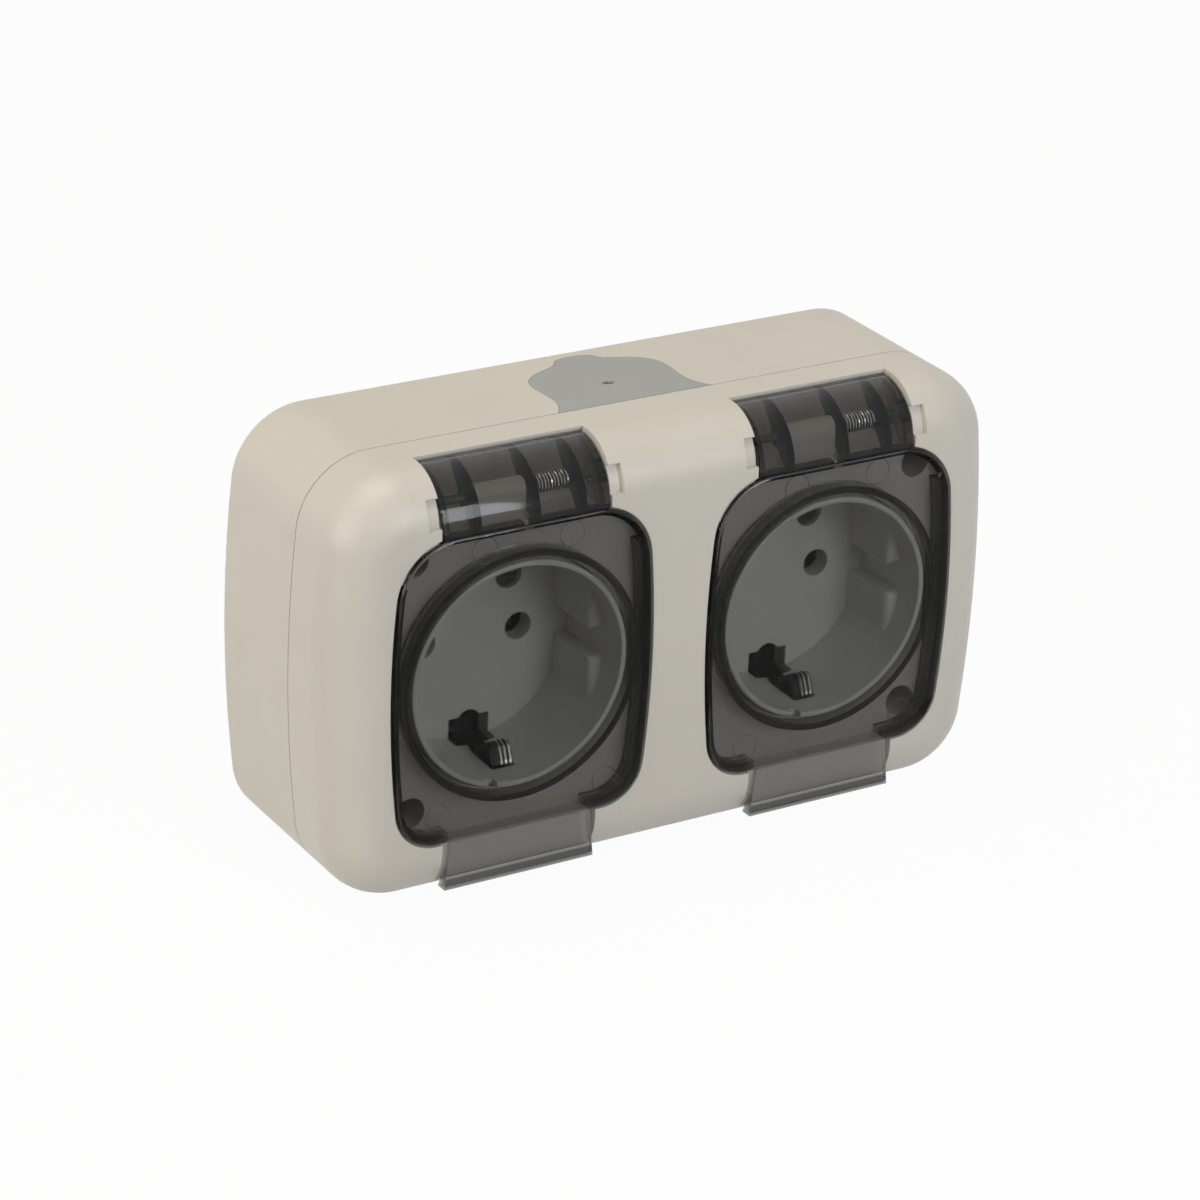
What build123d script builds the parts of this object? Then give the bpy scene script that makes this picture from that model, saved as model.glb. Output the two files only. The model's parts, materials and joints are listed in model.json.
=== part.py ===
from build123d import *
from math import asin, degrees, hypot, radians, sin
import os

# Twin surface-mounted outdoor socket with two sprung see-through lids, in millimetres.
# Each piece is drawn lying on its back: x along the box, y up the wall, z out from the wall.
# The last step turns every piece upright, so that the wall is the plane y = 0.

# Housing
WIDTH = 134.4
HEIGHT = 78.8
DEPTH = 42.8
BOX_DEPTH = 25.3
WALL = 3.0
BACK_WALL = 2.5
SIDE_BOW = 3.0
TOP_CORNER = 13.5
BOTTOM_CORNER = 13.0
FRONT_ROUND = 9.5
BACK_ROUND = 1.0
PARTING_GAP = 0.15
GASKET_WIDTH = 1.3
GASKET_HEIGHT = 1.1
GASKET_GAP = 0.05
TONGUE_WIDTH = 1.0
TONGUE_HEIGHT = 1.6

# Wall fixing and cable entry; the waves are points in from the entry's half width, above its lowest edge
WALL_SLOT_SPACING = 116.0
WALL_SLOT_LENGTH = 8.0
WALL_SLOT_R = 2.25
ENTRY_HALF_WIDTH = 13.0
ENTRY_FLARE = 3.9
ENTRY_EDGE = 2.6
ENTRY_WAVES = ((-0.3, 18.0), (0.2, 7.6), (3.6, 4.6), (8.2, 2.4))
ENTRY_LIP = 1.2
ENTRY_DIAPHRAGM = 1.2
ENTRY_CABLE_R = 6.0
ENTRY_CENTRE = 16.5
ENTRY_DIMPLE_R = 0.8
ENTRY_DIMPLE = 0.4
ENTRY_FIT = 0.05

# Socket cups
SOCKET_SPACING = 62.15
PIN_SPACING = 19.0
PIN_HOLE_R = 2.6
CUP_R = 20.0
CUP_DRAFT = 0.4
CUP_DEPTH = 17.9
CUP_WALL = 1.0
CUP_FLOOR = 3.6
COLLAR_GAP = 0.5
FLANGE_WIDTH = 2.9
FLANGE_HEIGHT = 2.0
FLANGE_FIT = 0.25
SEAL_WIDTH = 1.6
SEAL_HEIGHT = 1.0
GUIDE_REACH = 3.2
GUIDE_CHANNEL = 5.5
GUIDE_DROP = 5.5
GUIDE_ROUND = 1.2
DRAIN_PLACE = -5.0
DRAIN_WIDTH = 1.8
DRAIN_DEPTH = 1.6

# Lids
LID_WIDTH = 50.6
LID_HEIGHT = 56.7
LID_BOW = 2.1
LID_TOP_CORNER = 11.0
LID_CORNER = 8.0
LID_PLATE = 2.0
LID_EDGE = 0.6
LID_BEVEL = 1.3
LID_PROUD = 0.5
LID_GAP = 0.4
LID_SKIRT = 5.2
LID_WALL = 1.5
SKIRT_TOP = 20.5
RIB_R = 23.3
RIB_WALL = 1.3
TAB_WIDTH = 29.6
TAB_NECK = 27.6
TAB_LENGTH = 9.1
TAB_PLATE = 1.6
TAB_LIP = 2.4
POCKET_PLATE = 2.5
POCKET_WALL = 1.8

# Hinges
VISOR_WIDTH = 32.0
VISOR_R = 10.3
VISOR_WALL = 1.2
VISOR_INSET = 0.6
FOOT_RIB = 1.5
FOOT_RIB_SPLIT = 1.6
HINGE_DEPTH = 5.8
HINGE_RISE = 4.55
LID_OPEN = 95.0
HINGE_WALL = 1.5
WEB_PLACES = (-9.2, 2.2, 11.2)
WEB_WALL = 1.5
WEB_GAP = 0.25
HUB_R = 1.9
HINGE_PIN_R = 0.75
HINGE_PIN_FIT = 0.05
LID_PIN_FIT = 0.1
PIN_RELIEF_WIDTH = 2.3
PIN_RELIEF_HEIGHT = 5.0
PIN_RELIEF_DEPTH = 1.0
SPRING_R = 1.45
SPRING_WIRE = 0.55
SPRING_SIDES = 6
SPRING_TURNS = 10
SPRING_LENGTH = 6.2

# Cover screws
SCREW_X = 19.5
SCREW_Y = 23.5
SCREW_R = 1.5
SCREW_HEAD_R = 2.7
SCREW_HEAD = 2.0
SCREW_SINK = 8.0
SCREW_LENGTH = 20.0
SCREW_FIT = 0.2
SCREW_SLOT = 0.8
TOWER_WALL = 1.3
POST_WALL = 2.4

# Screws in the cup floors
INSERT_SCREW_X = 7.4
INSERT_SCREW_Y = 10.2
INSERT_SCREW_R = 1.3
INSERT_SCREW_HEAD_R = 2.4
INSERT_SCREW_HEAD = 1.4
INSERT_SCREW_SEAT = 1.2
INSERT_SCREW_LENGTH = 7.5

# Contact base and its strips
BASE_HALF_HEIGHT = 21.5
BASE_BACK = 4.0
BASE_GAP = 0.3
BASE_SKIN = 1.6
LUG_REACH = 8.6
LUG_DROP = 5.2
LUG_PLATE = 4.0
STRIP = 0.8
STRIP_FIT = 0.2
BUS_Y = 14.5
BUS_BACK = 7.5
BUS_HEIGHT = 6.0
PLUG_PIN_R = 2.4
LEAF = 0.6
LEAF_HEIGHT = 9.0
LEAF_TIP = 3.2
EARTH_WIDTH = 4.0
LINK_Y = 5.5
LINK_WIDTH = 4.0
CLIP_SEAT = 20.4
CLIP_KNEE = 8.1
CLIP_NOSE = 4.6
CLIP_HEIGHT = 16.5
CLIP_RAMP = 1.4
CLIP_TIP = 1.0
CLIP_BEND = 1.0
CLIP_FIT = 0.3
CLIP_OPENING = 8.0
CLIP_FLOOR_CUT = 5.0
CLIP_STEP = 2.7
CLIP_BUMP = 1.2
CLIP_BUMP_R = 2.4
TERMINAL_X = 5.0
TERMINAL_WIDTH = 8.0
TERMINAL_REACH = 4.6
TERMINAL_R = 1.3
TERMINAL_HEAD_R = 2.2
TERMINAL_HEAD = 2.0
TERMINAL_DEPTH = 6.0

# Levels above the wall
box_rim = BOX_DEPTH - PARTING_GAP / 2
cover_rim = BOX_DEPTH + PARTING_GAP / 2
lid_front = DEPTH + LID_PROUD
lid_back = lid_front - LID_PLATE
skirt_end = lid_front - LID_SKIRT
tab_face = lid_front - LID_EDGE / 2
pocket_floor = skirt_end - LID_GAP
pocket_back = pocket_floor - POCKET_PLATE
collar_front = lid_back - COLLAR_GAP
cup_floor = collar_front - CUP_DEPTH
cup_back = cup_floor - CUP_FLOOR
base_front = cup_back - BASE_GAP
strap_front = base_front - STRIP_FIT / 2
strap_back = strap_front - STRIP
lug_top = base_front - LUG_DROP
lug_back = lug_top - LUG_PLATE
screw_seat = pocket_floor - SCREW_SINK
insert_seat = cup_back + INSERT_SCREW_SEAT
beyond = 2 * HEIGHT

# Places across the face
socket_places = (-SOCKET_SPACING / 2, SOCKET_SPACING / 2)
lid_top = LID_HEIGHT / 2
collar_r = CUP_R + CUP_WALL
flange_r = collar_r + FLANGE_WIDTH
screw_places = [
    (side * (SOCKET_SPACING / 2 + SCREW_X), level * SCREW_Y)
    for side in (-1, 1)
    for level in (-1, 1)
]

# Hinge line, and how far the hood swings about it
hinge_y = lid_top + HINGE_RISE
hinge_z = lid_front - HINGE_DEPTH
visor_z = lid_front - VISOR_INSET - VISOR_R
hood_reach = hypot(lid_top + VISOR_R - hinge_y, hinge_z - visor_z)
hood_start = degrees(asin((lid_top + VISOR_R - hinge_y) / hood_reach))
trough_r = hood_reach + LID_GAP
trough_floor = hinge_y - hood_reach * sin(radians(LID_OPEN - hood_start)) - LID_GAP
trough_half = VISOR_WIDTH / 2 + LID_GAP

# Places of the contacts behind the cups
line_pins = (-SOCKET_SPACING / 2 - PIN_SPACING / 2, SOCKET_SPACING / 2 - PIN_SPACING / 2)
leaf_out = PLUG_PIN_R + STRIP_FIT / 4 + LEAF
chamber_half = leaf_out + 2 * STRIP_FIT
terminal_y = BUS_Y + STRIP / 2 + TERMINAL_REACH / 2
base_half = SOCKET_SPACING / 2 + PIN_SPACING / 2 + chamber_half + BASE_SKIN
lug_x = base_half + LUG_REACH / 2


def slab(face, low, high):
    """A flat outline raised from one level to another."""
    return extrude(Pos(0, 0, low) * face, high - low)


def block(x, y, z):
    """A box given by its low and high limits on each axis."""
    size = [high - low for low, high in (x, y, z)]
    centre = [(high + low) / 2 for low, high in (x, y, z)]
    return Pos(*centre) * Box(*size)


def rod(x, y, r, low, high):
    """A round bar standing on the wall's normal."""
    return Pos(x, y, (low + high) / 2) * Cylinder(r, high - low)


def across(section, low, high):
    """A section drawn in y and z, drawn out along x."""
    return extrude(Plane.YZ.offset(low) * section, high - low)


def disc(y, z, r):
    """A circle in a y and z section."""
    return Pos(y, z) * Circle(r)


def panel(y, z):
    """A rectangle in a y and z section, by its limits."""
    return Pos((y[0] + y[1]) / 2, (z[0] + z[1]) / 2) * Rectangle(y[1] - y[0], z[1] - z[0])


def bowed_outline(width, height, bow, top_corner, bottom_corner):
    """A flat-topped outline whose sides bulge out at mid height."""
    x = width / 2 - bow
    y = height / 2
    outline = make_face(
        [
            ThreePointArc((x, -y), (width / 2, 0), (x, y)),
            Line((x, y), (-x, y)),
            ThreePointArc((-x, y), (-width / 2, 0), (-x, -y)),
            Line((-x, -y), (x, -y)),
        ]
    )
    outline = fillet(outline.vertices().group_by(Axis.Y)[-1], top_corner)
    return fillet(outline.vertices().group_by(Axis.Y)[0], bottom_corner)


housing_outline = bowed_outline(WIDTH, HEIGHT, SIDE_BOW, TOP_CORNER, BOTTOM_CORNER)
lid_outline = bowed_outline(LID_WIDTH, LID_HEIGHT, LID_BOW, LID_TOP_CORNER, LID_CORNER)


def rim_ring(width):
    """A closed band that follows the middle of the housing wall."""
    inset = (WALL - width) / 2
    return offset(housing_outline, -inset) - offset(housing_outline, -inset - width)


def box_shell():
    """The open tray of the back box, with the tongue on its rim."""
    shell = slab(housing_outline, 0, box_rim)
    shell = fillet(shell.faces().sort_by(Axis.Z)[0].edges(), BACK_ROUND)
    shell -= slab(offset(housing_outline, -WALL), BACK_WALL, box_rim)
    return shell + slab(rim_ring(TONGUE_WIDTH), box_rim, box_rim + TONGUE_HEIGHT)


def entry_outline(grow):
    """The wavy outline of the cable entry, seen from above: x across and y out from the wall."""
    half = ENTRY_HALF_WIDTH + grow
    low = ENTRY_EDGE - grow
    rim = box_rim + TONGUE_HEIGHT
    side = Spline(
        (half + ENTRY_FLARE, rim),
        *[(half - step, low + rise) for step, rise in ENTRY_WAVES],
        (0, low),
        tangents=[(-1, -1), (-1, 0)],
    )
    other = side.mirror(Plane.YZ)
    return make_face([side, other, Line(side @ 0, other @ 0)])


def entry_prism(grow, low, high):
    """The cable entry's outline, raised through the top wall."""
    top_view = Plane(origin=(0, low, 0), x_dir=(1, 0, 0), z_dir=(0, -1, 0))
    return extrude(top_view * entry_outline(grow), low - high)


def back_box(shell):
    """Back box with the wall slots, the screw posts and the notch for the cable entry."""
    box = shell - entry_prism(0, HEIGHT / 2 - 2 * WALL, HEIGHT)
    for x in (-WALL_SLOT_SPACING / 2, WALL_SLOT_SPACING / 2):
        slot = Pos(x, 0) * SlotOverall(WALL_SLOT_LENGTH, 2 * WALL_SLOT_R)
        box -= slab(slot, 0, BACK_WALL)
    for x, y in screw_places:
        box += rod(x, y, SCREW_R + POST_WALL, BACK_WALL, box_rim)
        box -= rod(x, y, SCREW_R, BACK_WALL, box_rim)
    for x in (-lug_x, lug_x):
        box += rod(x, 0, SCREW_R + POST_WALL, BACK_WALL, lug_back)
        box -= rod(x, 0, SCREW_R, BACK_WALL, lug_back)
    return box


def cable_membrane(shell):
    """Soft plug of the cable entry, flush with the wall, with a lip inside and a dimpled middle."""
    inner = HEIGHT / 2 - WALL
    plug = shell & entry_prism(-ENTRY_FIT, inner, HEIGHT)
    lip = entry_prism(ENTRY_LIP, inner - ENTRY_LIP, inner)
    lip &= block((-WIDTH / 2, WIDTH / 2), (0, HEIGHT), (BACK_WALL, box_rim))
    bore = Pos(0, inner - ENTRY_LIP, ENTRY_CENTRE) * Rot(90, 0, 0)
    depth = WALL + ENTRY_LIP - ENTRY_DIAPHRAGM
    dimple = Pos(0, HEIGHT / 2 - ENTRY_DIMPLE / 2, ENTRY_CENTRE) * Rot(-90, 0, 0)
    plug -= dimple * Cone(ENTRY_DIMPLE_R / 2, ENTRY_DIMPLE_R, ENTRY_DIMPLE)
    return plug + lip - bore * Cylinder(ENTRY_CABLE_R, 2 * depth)


def cover_gasket():
    """Rubber cord in the groove of the cover's rim."""
    low = box_rim + TONGUE_HEIGHT
    return slab(rim_ring(GASKET_WIDTH), low, low + GASKET_HEIGHT)


def trough_section():
    """Space that the hood swings through, open to the front and to the top."""
    swing = disc(hinge_y, hinge_z, trough_r)
    above = panel((hinge_y, beyond), (visor_z - LID_GAP, beyond))
    ahead = panel((trough_floor, beyond), (hinge_z, beyond))
    return (swing + above + ahead) & panel((trough_floor, beyond), (0, beyond))


def trough_casing():
    """The wall round the hood's space, before the space is cut out of it."""
    low = trough_floor - HINGE_WALL
    return disc(hinge_y, hinge_z, trough_r + HINGE_WALL) & panel((low, beyond), (0, beyond))


def hinge_barrel():
    """Bearing block on the cover that carries the middle of the hinge pin."""
    low = WEB_PLACES[0] + WEB_WALL / 2 + WEB_GAP
    high = WEB_PLACES[1] - WEB_WALL / 2 - WEB_GAP
    foot = panel((trough_floor, hinge_y), (hinge_z - HUB_R, hinge_z + HUB_R))
    section = disc(hinge_y, hinge_z, HUB_R) + foot
    return across(section - disc(hinge_y, hinge_z, HINGE_PIN_R + HINGE_PIN_FIT), low, high)


def pin_reliefs():
    """Shallow pockets beside the hood, through which the hinge pin is pushed in."""
    half = PIN_RELIEF_HEIGHT / 2
    level = panel((hinge_y - half, hinge_y + half), (hinge_z, beyond))
    round_y = HEIGHT / 2 - FRONT_ROUND
    round_z = DEPTH - FRONT_ROUND
    section = level - disc(round_y, round_z, FRONT_ROUND - PIN_RELIEF_DEPTH)
    right = across(section, trough_half, trough_half + PIN_RELIEF_WIDTH)
    return right + right.mirror(Plane.YZ)


def front_cover():
    """Front cover with the lid pockets, hinge troughs, bearing blocks and screw towers."""
    outer = slab(housing_outline, cover_rim, DEPTH)
    outer = fillet(outer.faces().sort_by(Axis.Z)[-1].edges(), FRONT_ROUND)
    hollow = slab(offset(housing_outline, -WALL), cover_rim, DEPTH - WALL)
    hollow = fillet(hollow.faces().sort_by(Axis.Z)[-1].edges(), FRONT_ROUND - WALL)
    cover = outer - hollow
    tub = slab(offset(lid_outline, LID_GAP + POCKET_WALL), pocket_back, DEPTH - WALL / 2)
    casing = across(trough_casing(), -trough_half - HINGE_WALL, trough_half + HINGE_WALL)
    pocket = slab(offset(lid_outline, LID_GAP), pocket_floor, lid_front)
    trough = across(trough_section(), -trough_half, trough_half)
    tab_half = TAB_WIDTH / 2 + LID_GAP
    notch_floor = tab_face - TAB_LIP - LID_GAP
    notch = block((-tab_half, tab_half), (-HEIGHT, -lid_top), (notch_floor, beyond))
    hole = rod(0, 0, collar_r + FLANGE_FIT, pocket_back, pocket_floor)
    for x in socket_places:
        cover += Pos(x, 0, 0) * ((tub + casing) & Pos(-x, 0, 0) * outer)
    for x, y in screw_places:
        cover += rod(x, y, SCREW_HEAD_R + SCREW_FIT + TOWER_WALL, cover_rim, pocket_back)
    for x in socket_places:
        cover -= Pos(x, 0, 0) * (pocket + trough + notch + hole + pin_reliefs())
        cover += Pos(x, 0, 0) * hinge_barrel()
    for x, y in screw_places:
        cover -= rod(x, y, SCREW_R + SCREW_FIT, cover_rim, pocket_floor)
        cover -= rod(x, y, SCREW_HEAD_R + SCREW_FIT, screw_seat, pocket_floor)
    groove_top = box_rim + TONGUE_HEIGHT + GASKET_HEIGHT
    return cover - slab(rim_ring(GASKET_WIDTH + 2 * GASKET_GAP), cover_rim, groove_top)


def slotted_screw(r, head_r, head, length):
    """A cheese-head screw with its seat at the origin and its shank pointing back."""
    screw = rod(0, 0, head_r, 0, head) + rod(0, 0, r, -length, 0)
    slot = block((-head_r, head_r), (-SCREW_SLOT / 2, SCREW_SLOT / 2), (head / 2, head))
    return screw - slot


def cover_screws():
    """Four screws that hold the cover to the posts of the back box."""
    screw = slotted_screw(SCREW_R, SCREW_HEAD_R, SCREW_HEAD, SCREW_LENGTH)
    return [Pos(x, y, screw_seat) * screw for x, y in screw_places]


def socket_insert():
    """Plug recess: a cup with side guides, pin holes and earth openings, and a flange behind the cover."""
    cup = rod(0, 0, collar_r, cup_back, collar_front)
    cup += rod(0, 0, flange_r, pocket_back - FLANGE_HEIGHT, pocket_back)
    cup -= Pos(0, 0, (collar_front + cup_floor) / 2) * Cone(CUP_R - CUP_DRAFT, CUP_R, CUP_DEPTH)
    guide = Circle(CUP_R + CUP_WALL / 2) - Rectangle(2 * (CUP_R - GUIDE_REACH), 4 * CUP_R)
    guide -= Rectangle(4 * CUP_R, GUIDE_CHANNEL)
    guides = slab(guide, cup_floor, collar_front - GUIDE_DROP)
    cup += fillet(guides.edges().group_by(Axis.Z)[-1].filter_by(GeomType.LINE), GUIDE_ROUND)
    cup = fillet(cup.edges().group_by(Axis.Z)[-1], CUP_WALL / 4)
    for x in (-PIN_SPACING / 2, PIN_SPACING / 2):
        cup -= rod(x, 0, PIN_HOLE_R, cup_back, cup_floor)
    cup -= rod(INSERT_SCREW_X, INSERT_SCREW_Y, INSERT_SCREW_R + SCREW_FIT, cup_back, insert_seat)
    cup -= rod(INSERT_SCREW_X, INSERT_SCREW_Y, INSERT_SCREW_HEAD_R + SCREW_FIT, insert_seat, cup_floor)
    slot_top = strap_front + CLIP_HEIGHT + CLIP_FIT
    inner = CLIP_SEAT - CLIP_FLOOR_CUT
    outer = collar_r + STRIP_FIT
    half = CLIP_OPENING / 2
    slot_half = EARTH_WIDTH / 2 + CLIP_FIT
    opening = block((-half, half), (inner, outer), (cup_back, cup_floor + CLIP_STEP))
    opening += block((-slot_half, slot_half), (CLIP_SEAT - STRIP, outer), (cup_back, slot_top))
    opening += rod(0, inner - CLIP_BUMP + CLIP_BUMP_R, CLIP_BUMP_R, cup_back, cup_floor)
    cup -= opening
    cup -= opening.mirror(Plane.XZ)
    drain = (DRAIN_PLACE - DRAIN_WIDTH / 2, DRAIN_PLACE + DRAIN_WIDTH / 2)
    cup -= block(drain, (-flange_r, 0), (collar_front - DRAIN_DEPTH, collar_front))
    seal_in = collar_r + FLANGE_FIT
    groove = Circle(seal_in + SEAL_WIDTH) - Circle(seal_in)
    return cup - slab(groove, pocket_back - SEAL_HEIGHT, pocket_back)


def insert_seal():
    """Flat rubber ring between the cup's flange and the back of the cover."""
    seal_in = collar_r + FLANGE_FIT + GASKET_GAP
    ring = Circle(seal_in + SEAL_WIDTH - 2 * GASKET_GAP) - Circle(seal_in)
    return slab(ring, pocket_back - SEAL_HEIGHT, pocket_back)


def web_section():
    """Side view of a lid web: the slice under the hood, with the hub round the hinge pin."""
    hood = disc(lid_top, visor_z, VISOR_R - VISOR_WALL / 2)
    back = (lid_top + VISOR_R - VISOR_WALL / 2, visor_z)
    front = (lid_top - VISOR_WALL, lid_back)
    slice_face = make_face(Polyline(back, front, (lid_top, beyond), (beyond, beyond), back))
    return (hood & slice_face) + disc(hinge_y, hinge_z, HUB_R)


def lid_tab():
    """Finger tab below the lid: a thin neck that swells to a lip at its end."""
    neck = -lid_top + LID_WALL
    waist = -lid_top - TAB_LENGTH / 2
    end = -lid_top - TAB_LENGTH
    back = tab_face - TAB_PLATE
    lip = tab_face - TAB_LIP
    profile = make_face(
        [
            Line((neck, tab_face), (end, tab_face)),
            Line((end, tab_face), (end, lip)),
            TangentArc((waist, back), (end, lip), tangent=(-1, 0)),
            Line((waist, back), (neck, back)),
            Line((neck, back), (neck, tab_face)),
        ]
    )
    tab = across(profile, -TAB_WIDTH / 2, TAB_WIDTH / 2)
    front = make_face(
        Polyline(
            (-TAB_NECK / 2, neck),
            (-TAB_NECK / 2, -lid_top),
            (-TAB_WIDTH / 2, end),
            (TAB_WIDTH / 2, end),
            (TAB_NECK / 2, -lid_top),
            (TAB_NECK / 2, neck),
            (-TAB_NECK / 2, neck),
        )
    )
    return tab & slab(front, 0, beyond)


def lid():
    """See-through lid in one moulding: plate, skirt, sealing rib, hood with webs, and finger tab."""
    plate = slab(lid_outline, lid_back, lid_front)
    plate = chamfer(plate.faces().sort_by(Axis.Z)[0].edges(), LID_BEVEL)
    plate = fillet(plate.faces().sort_by(Axis.Z)[-1].edges(), LID_EDGE)
    skirt = slab(lid_outline - offset(lid_outline, -LID_WALL), skirt_end, lid_front - LID_EDGE)
    skirt &= block((-LID_WIDTH, LID_WIDTH), (-LID_HEIGHT, SKIRT_TOP), (0, beyond))
    skirt -= block((-TAB_NECK / 2, TAB_NECK / 2), (-LID_HEIGHT, 0), (0, lid_back))
    rib = slab(Circle(RIB_R) - Circle(RIB_R - RIB_WALL), skirt_end, lid_back)
    half = VISOR_WIDTH / 2
    quarter = panel((lid_top, beyond), (visor_z, beyond))
    shell = disc(lid_top, visor_z, VISOR_R) - disc(lid_top, visor_z, VISOR_R - VISOR_WALL)
    root = panel((lid_top - VISOR_WALL, lid_top), (lid_back, lid_front - VISOR_INSET))
    body = plate + skirt + rib + across((shell & quarter) + root, -half, half) + lid_tab()
    foot = panel((lid_top - VISOR_WALL, lid_top), (lid_back - FOOT_RIB, lid_back))
    split = WEB_PLACES[1] - WEB_WALL / 2
    body += across(foot, -half, split - FOOT_RIB_SPLIT) + across(foot, split, half)
    ends = (-half + WEB_WALL / 2, half - WEB_WALL / 2)
    for x in WEB_PLACES + ends:
        body += across(web_section(), x - WEB_WALL / 2, x + WEB_WALL / 2)
    hole = disc(hinge_y, hinge_z, HINGE_PIN_R + LID_PIN_FIT)
    return body - across(hole, -half + WEB_WALL / 3, half)


def hinge_pin():
    """Steel pin pushed in from the side, held in the bearing block, with the lid turning on it."""
    half = VISOR_WIDTH / 2
    return across(disc(hinge_y, hinge_z, HINGE_PIN_R), -half + WEB_WALL / 2, half - WEB_WALL / 3)


def lid_spring():
    """Torsion spring round the hinge pin, with its fixed leg on the floor of the trough."""
    middle = (WEB_PLACES[1] + WEB_PLACES[2]) / 2
    start = middle - SPRING_LENGTH / 2
    coil = Helix(SPRING_LENGTH / SPRING_TURNS, SPRING_LENGTH, SPRING_R)
    leg = Line(coil @ 0 - (coil % 0) * (hinge_y - trough_floor - SPRING_WIRE), coil @ 0)
    wire = Plane(origin=leg @ 0, z_dir=leg % 0) * RegularPolygon(SPRING_WIRE / 2, SPRING_SIDES)
    turns = sweep(wire, path=Wire([leg, coil]))
    return Pos(start, hinge_y, hinge_z) * Rot(0, 90, 0) * turns


def line_bus():
    """Stamped brass strip that feeds one pin of each socket through a pair of spring leaves."""
    top = BUS_BACK + BUS_HEIGHT
    middle = BUS_BACK + BUS_HEIGHT / 2
    reach = (line_pins[0] - leaf_out, line_pins[1] + leaf_out)
    bus = block(reach, (BUS_Y - STRIP / 2, BUS_Y + STRIP / 2), (BUS_BACK, top))
    height = (middle - LEAF_HEIGHT / 2, middle + LEAF_HEIGHT / 2)
    leaf = block((leaf_out - LEAF, leaf_out), (-LEAF_TIP, BUS_Y), height)
    for pin in line_pins:
        bus += Pos(pin, 0, 0) * (leaf + leaf.mirror(Plane.YZ))
    tab = (-TERMINAL_X - TERMINAL_WIDTH / 2, -TERMINAL_X + TERMINAL_WIDTH / 2)
    bus += block(tab, (BUS_Y - STRIP / 2, BUS_Y + TERMINAL_REACH), (top - STRIP, top))
    return bus - rod(-TERMINAL_X, terminal_y, TERMINAL_R + STRIP_FIT / 4, BUS_BACK, top)


def half_base_cuts():
    """Chambers of one pole: the leaf chambers, the channel between them and the terminal bay."""
    front = base_front
    deep = BUS_BACK + BUS_HEIGHT / 2 - LEAF_HEIGHT / 2 - STRIP_FIT
    bus_low = BUS_Y - STRIP / 2 - STRIP_FIT
    bus_high = BUS_Y + STRIP / 2 + STRIP_FIT
    cuts = block((line_pins[0], line_pins[1]), (bus_low, bus_high), (BUS_BACK, front))
    leaves = (-LEAF_TIP - STRIP_FIT, bus_high)
    for pin in line_pins:
        cuts += block((pin - chamber_half, pin + chamber_half), leaves, (deep, front))
        cuts += rod(pin, 0, PIN_HOLE_R, BASE_BACK, front)
    half = TERMINAL_WIDTH / 2 + STRIP_FIT
    seat = BUS_BACK + BUS_HEIGHT - STRIP
    bay = (-TERMINAL_X - half, -TERMINAL_X + half)
    cuts += block(bay, (bus_low, BASE_HALF_HEIGHT), (seat, front))
    return cuts + rod(-TERMINAL_X, terminal_y, TERMINAL_R, seat - TERMINAL_DEPTH, front)


def contact_base():
    """Moulded block behind the cups that holds the contact strips and screws to the back box."""
    body = RectangleRounded(2 * base_half, 2 * BASE_HALF_HEIGHT, BASE_SKIN)
    base = slab(body, BASE_BACK, base_front)
    lug_end = base_half + LUG_REACH
    lug = block((-lug_end, lug_end), (-LUG_REACH / 2, LUG_REACH / 2), (lug_back, lug_top))
    base += fillet(lug.edges().filter_by(Axis.Z), BASE_SKIN)
    base -= half_base_cuts()
    base -= Rot(0, 0, 180) * half_base_cuts()
    half = EARTH_WIDTH / 2 + STRIP_FIT
    for x in socket_places:
        base -= block((x - half, x + half), (-HEIGHT, HEIGHT), (strap_back, base_front))
    link_half = LINK_WIDTH / 2 + STRIP_FIT
    link_end = SOCKET_SPACING / 2 + half
    link_band = (LINK_Y - link_half, LINK_Y + link_half)
    base -= block((-link_end, link_end), link_band, (strap_back - STRIP, base_front))
    base -= rod(0, LINK_Y, TERMINAL_R, strap_back - STRIP - TERMINAL_DEPTH, base_front)
    screw_end = insert_seat - INSERT_SCREW_LENGTH
    for x in socket_places:
        base -= rod(x + INSERT_SCREW_X, INSERT_SCREW_Y, INSERT_SCREW_R, screw_end, base_front)
    for x in (-lug_x, lug_x):
        base -= rod(x, 0, SCREW_R + SCREW_FIT, lug_back, lug_top)
    return base


def insert_screws():
    """Screws in the cup floors, one to each cup, that hold the cups to the contact base."""
    screw = slotted_screw(INSERT_SCREW_R, INSERT_SCREW_HEAD_R, INSERT_SCREW_HEAD, INSERT_SCREW_LENGTH)
    return [Pos(x + INSERT_SCREW_X, INSERT_SCREW_Y, insert_seat) * screw for x in socket_places]


def base_screws():
    """Two screws through the lugs of the contact base."""
    screw = slotted_screw(SCREW_R, SCREW_HEAD_R, SCREW_HEAD, lug_top - 2 * BACK_WALL)
    return [Pos(x, 0, lug_top) * screw for x in (-lug_x, lug_x)]


def earth_strap():
    """Plated strap behind the cup, bent forward at both ends into spring clips with inturned noses."""
    tip = strap_front + CLIP_HEIGHT - STRIP / 2
    clip = FilletPolyline(
        (0, strap_back + STRIP / 2),
        (CLIP_SEAT, strap_back + STRIP / 2),
        (CLIP_SEAT, strap_front + CLIP_KNEE),
        (CLIP_SEAT - CLIP_NOSE, tip - CLIP_RAMP),
        (CLIP_SEAT - CLIP_TIP, tip),
        radius=CLIP_BEND,
    )
    section = offset(clip, amount=STRIP / 2, side=Side.BOTH, closed=True)
    arm = across(make_face(section), -EARTH_WIDTH / 2, EARTH_WIDTH / 2)
    arm &= block((-EARTH_WIDTH, EARTH_WIDTH), (0, HEIGHT), (0, DEPTH))
    return arm + arm.mirror(Plane.XZ)


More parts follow.
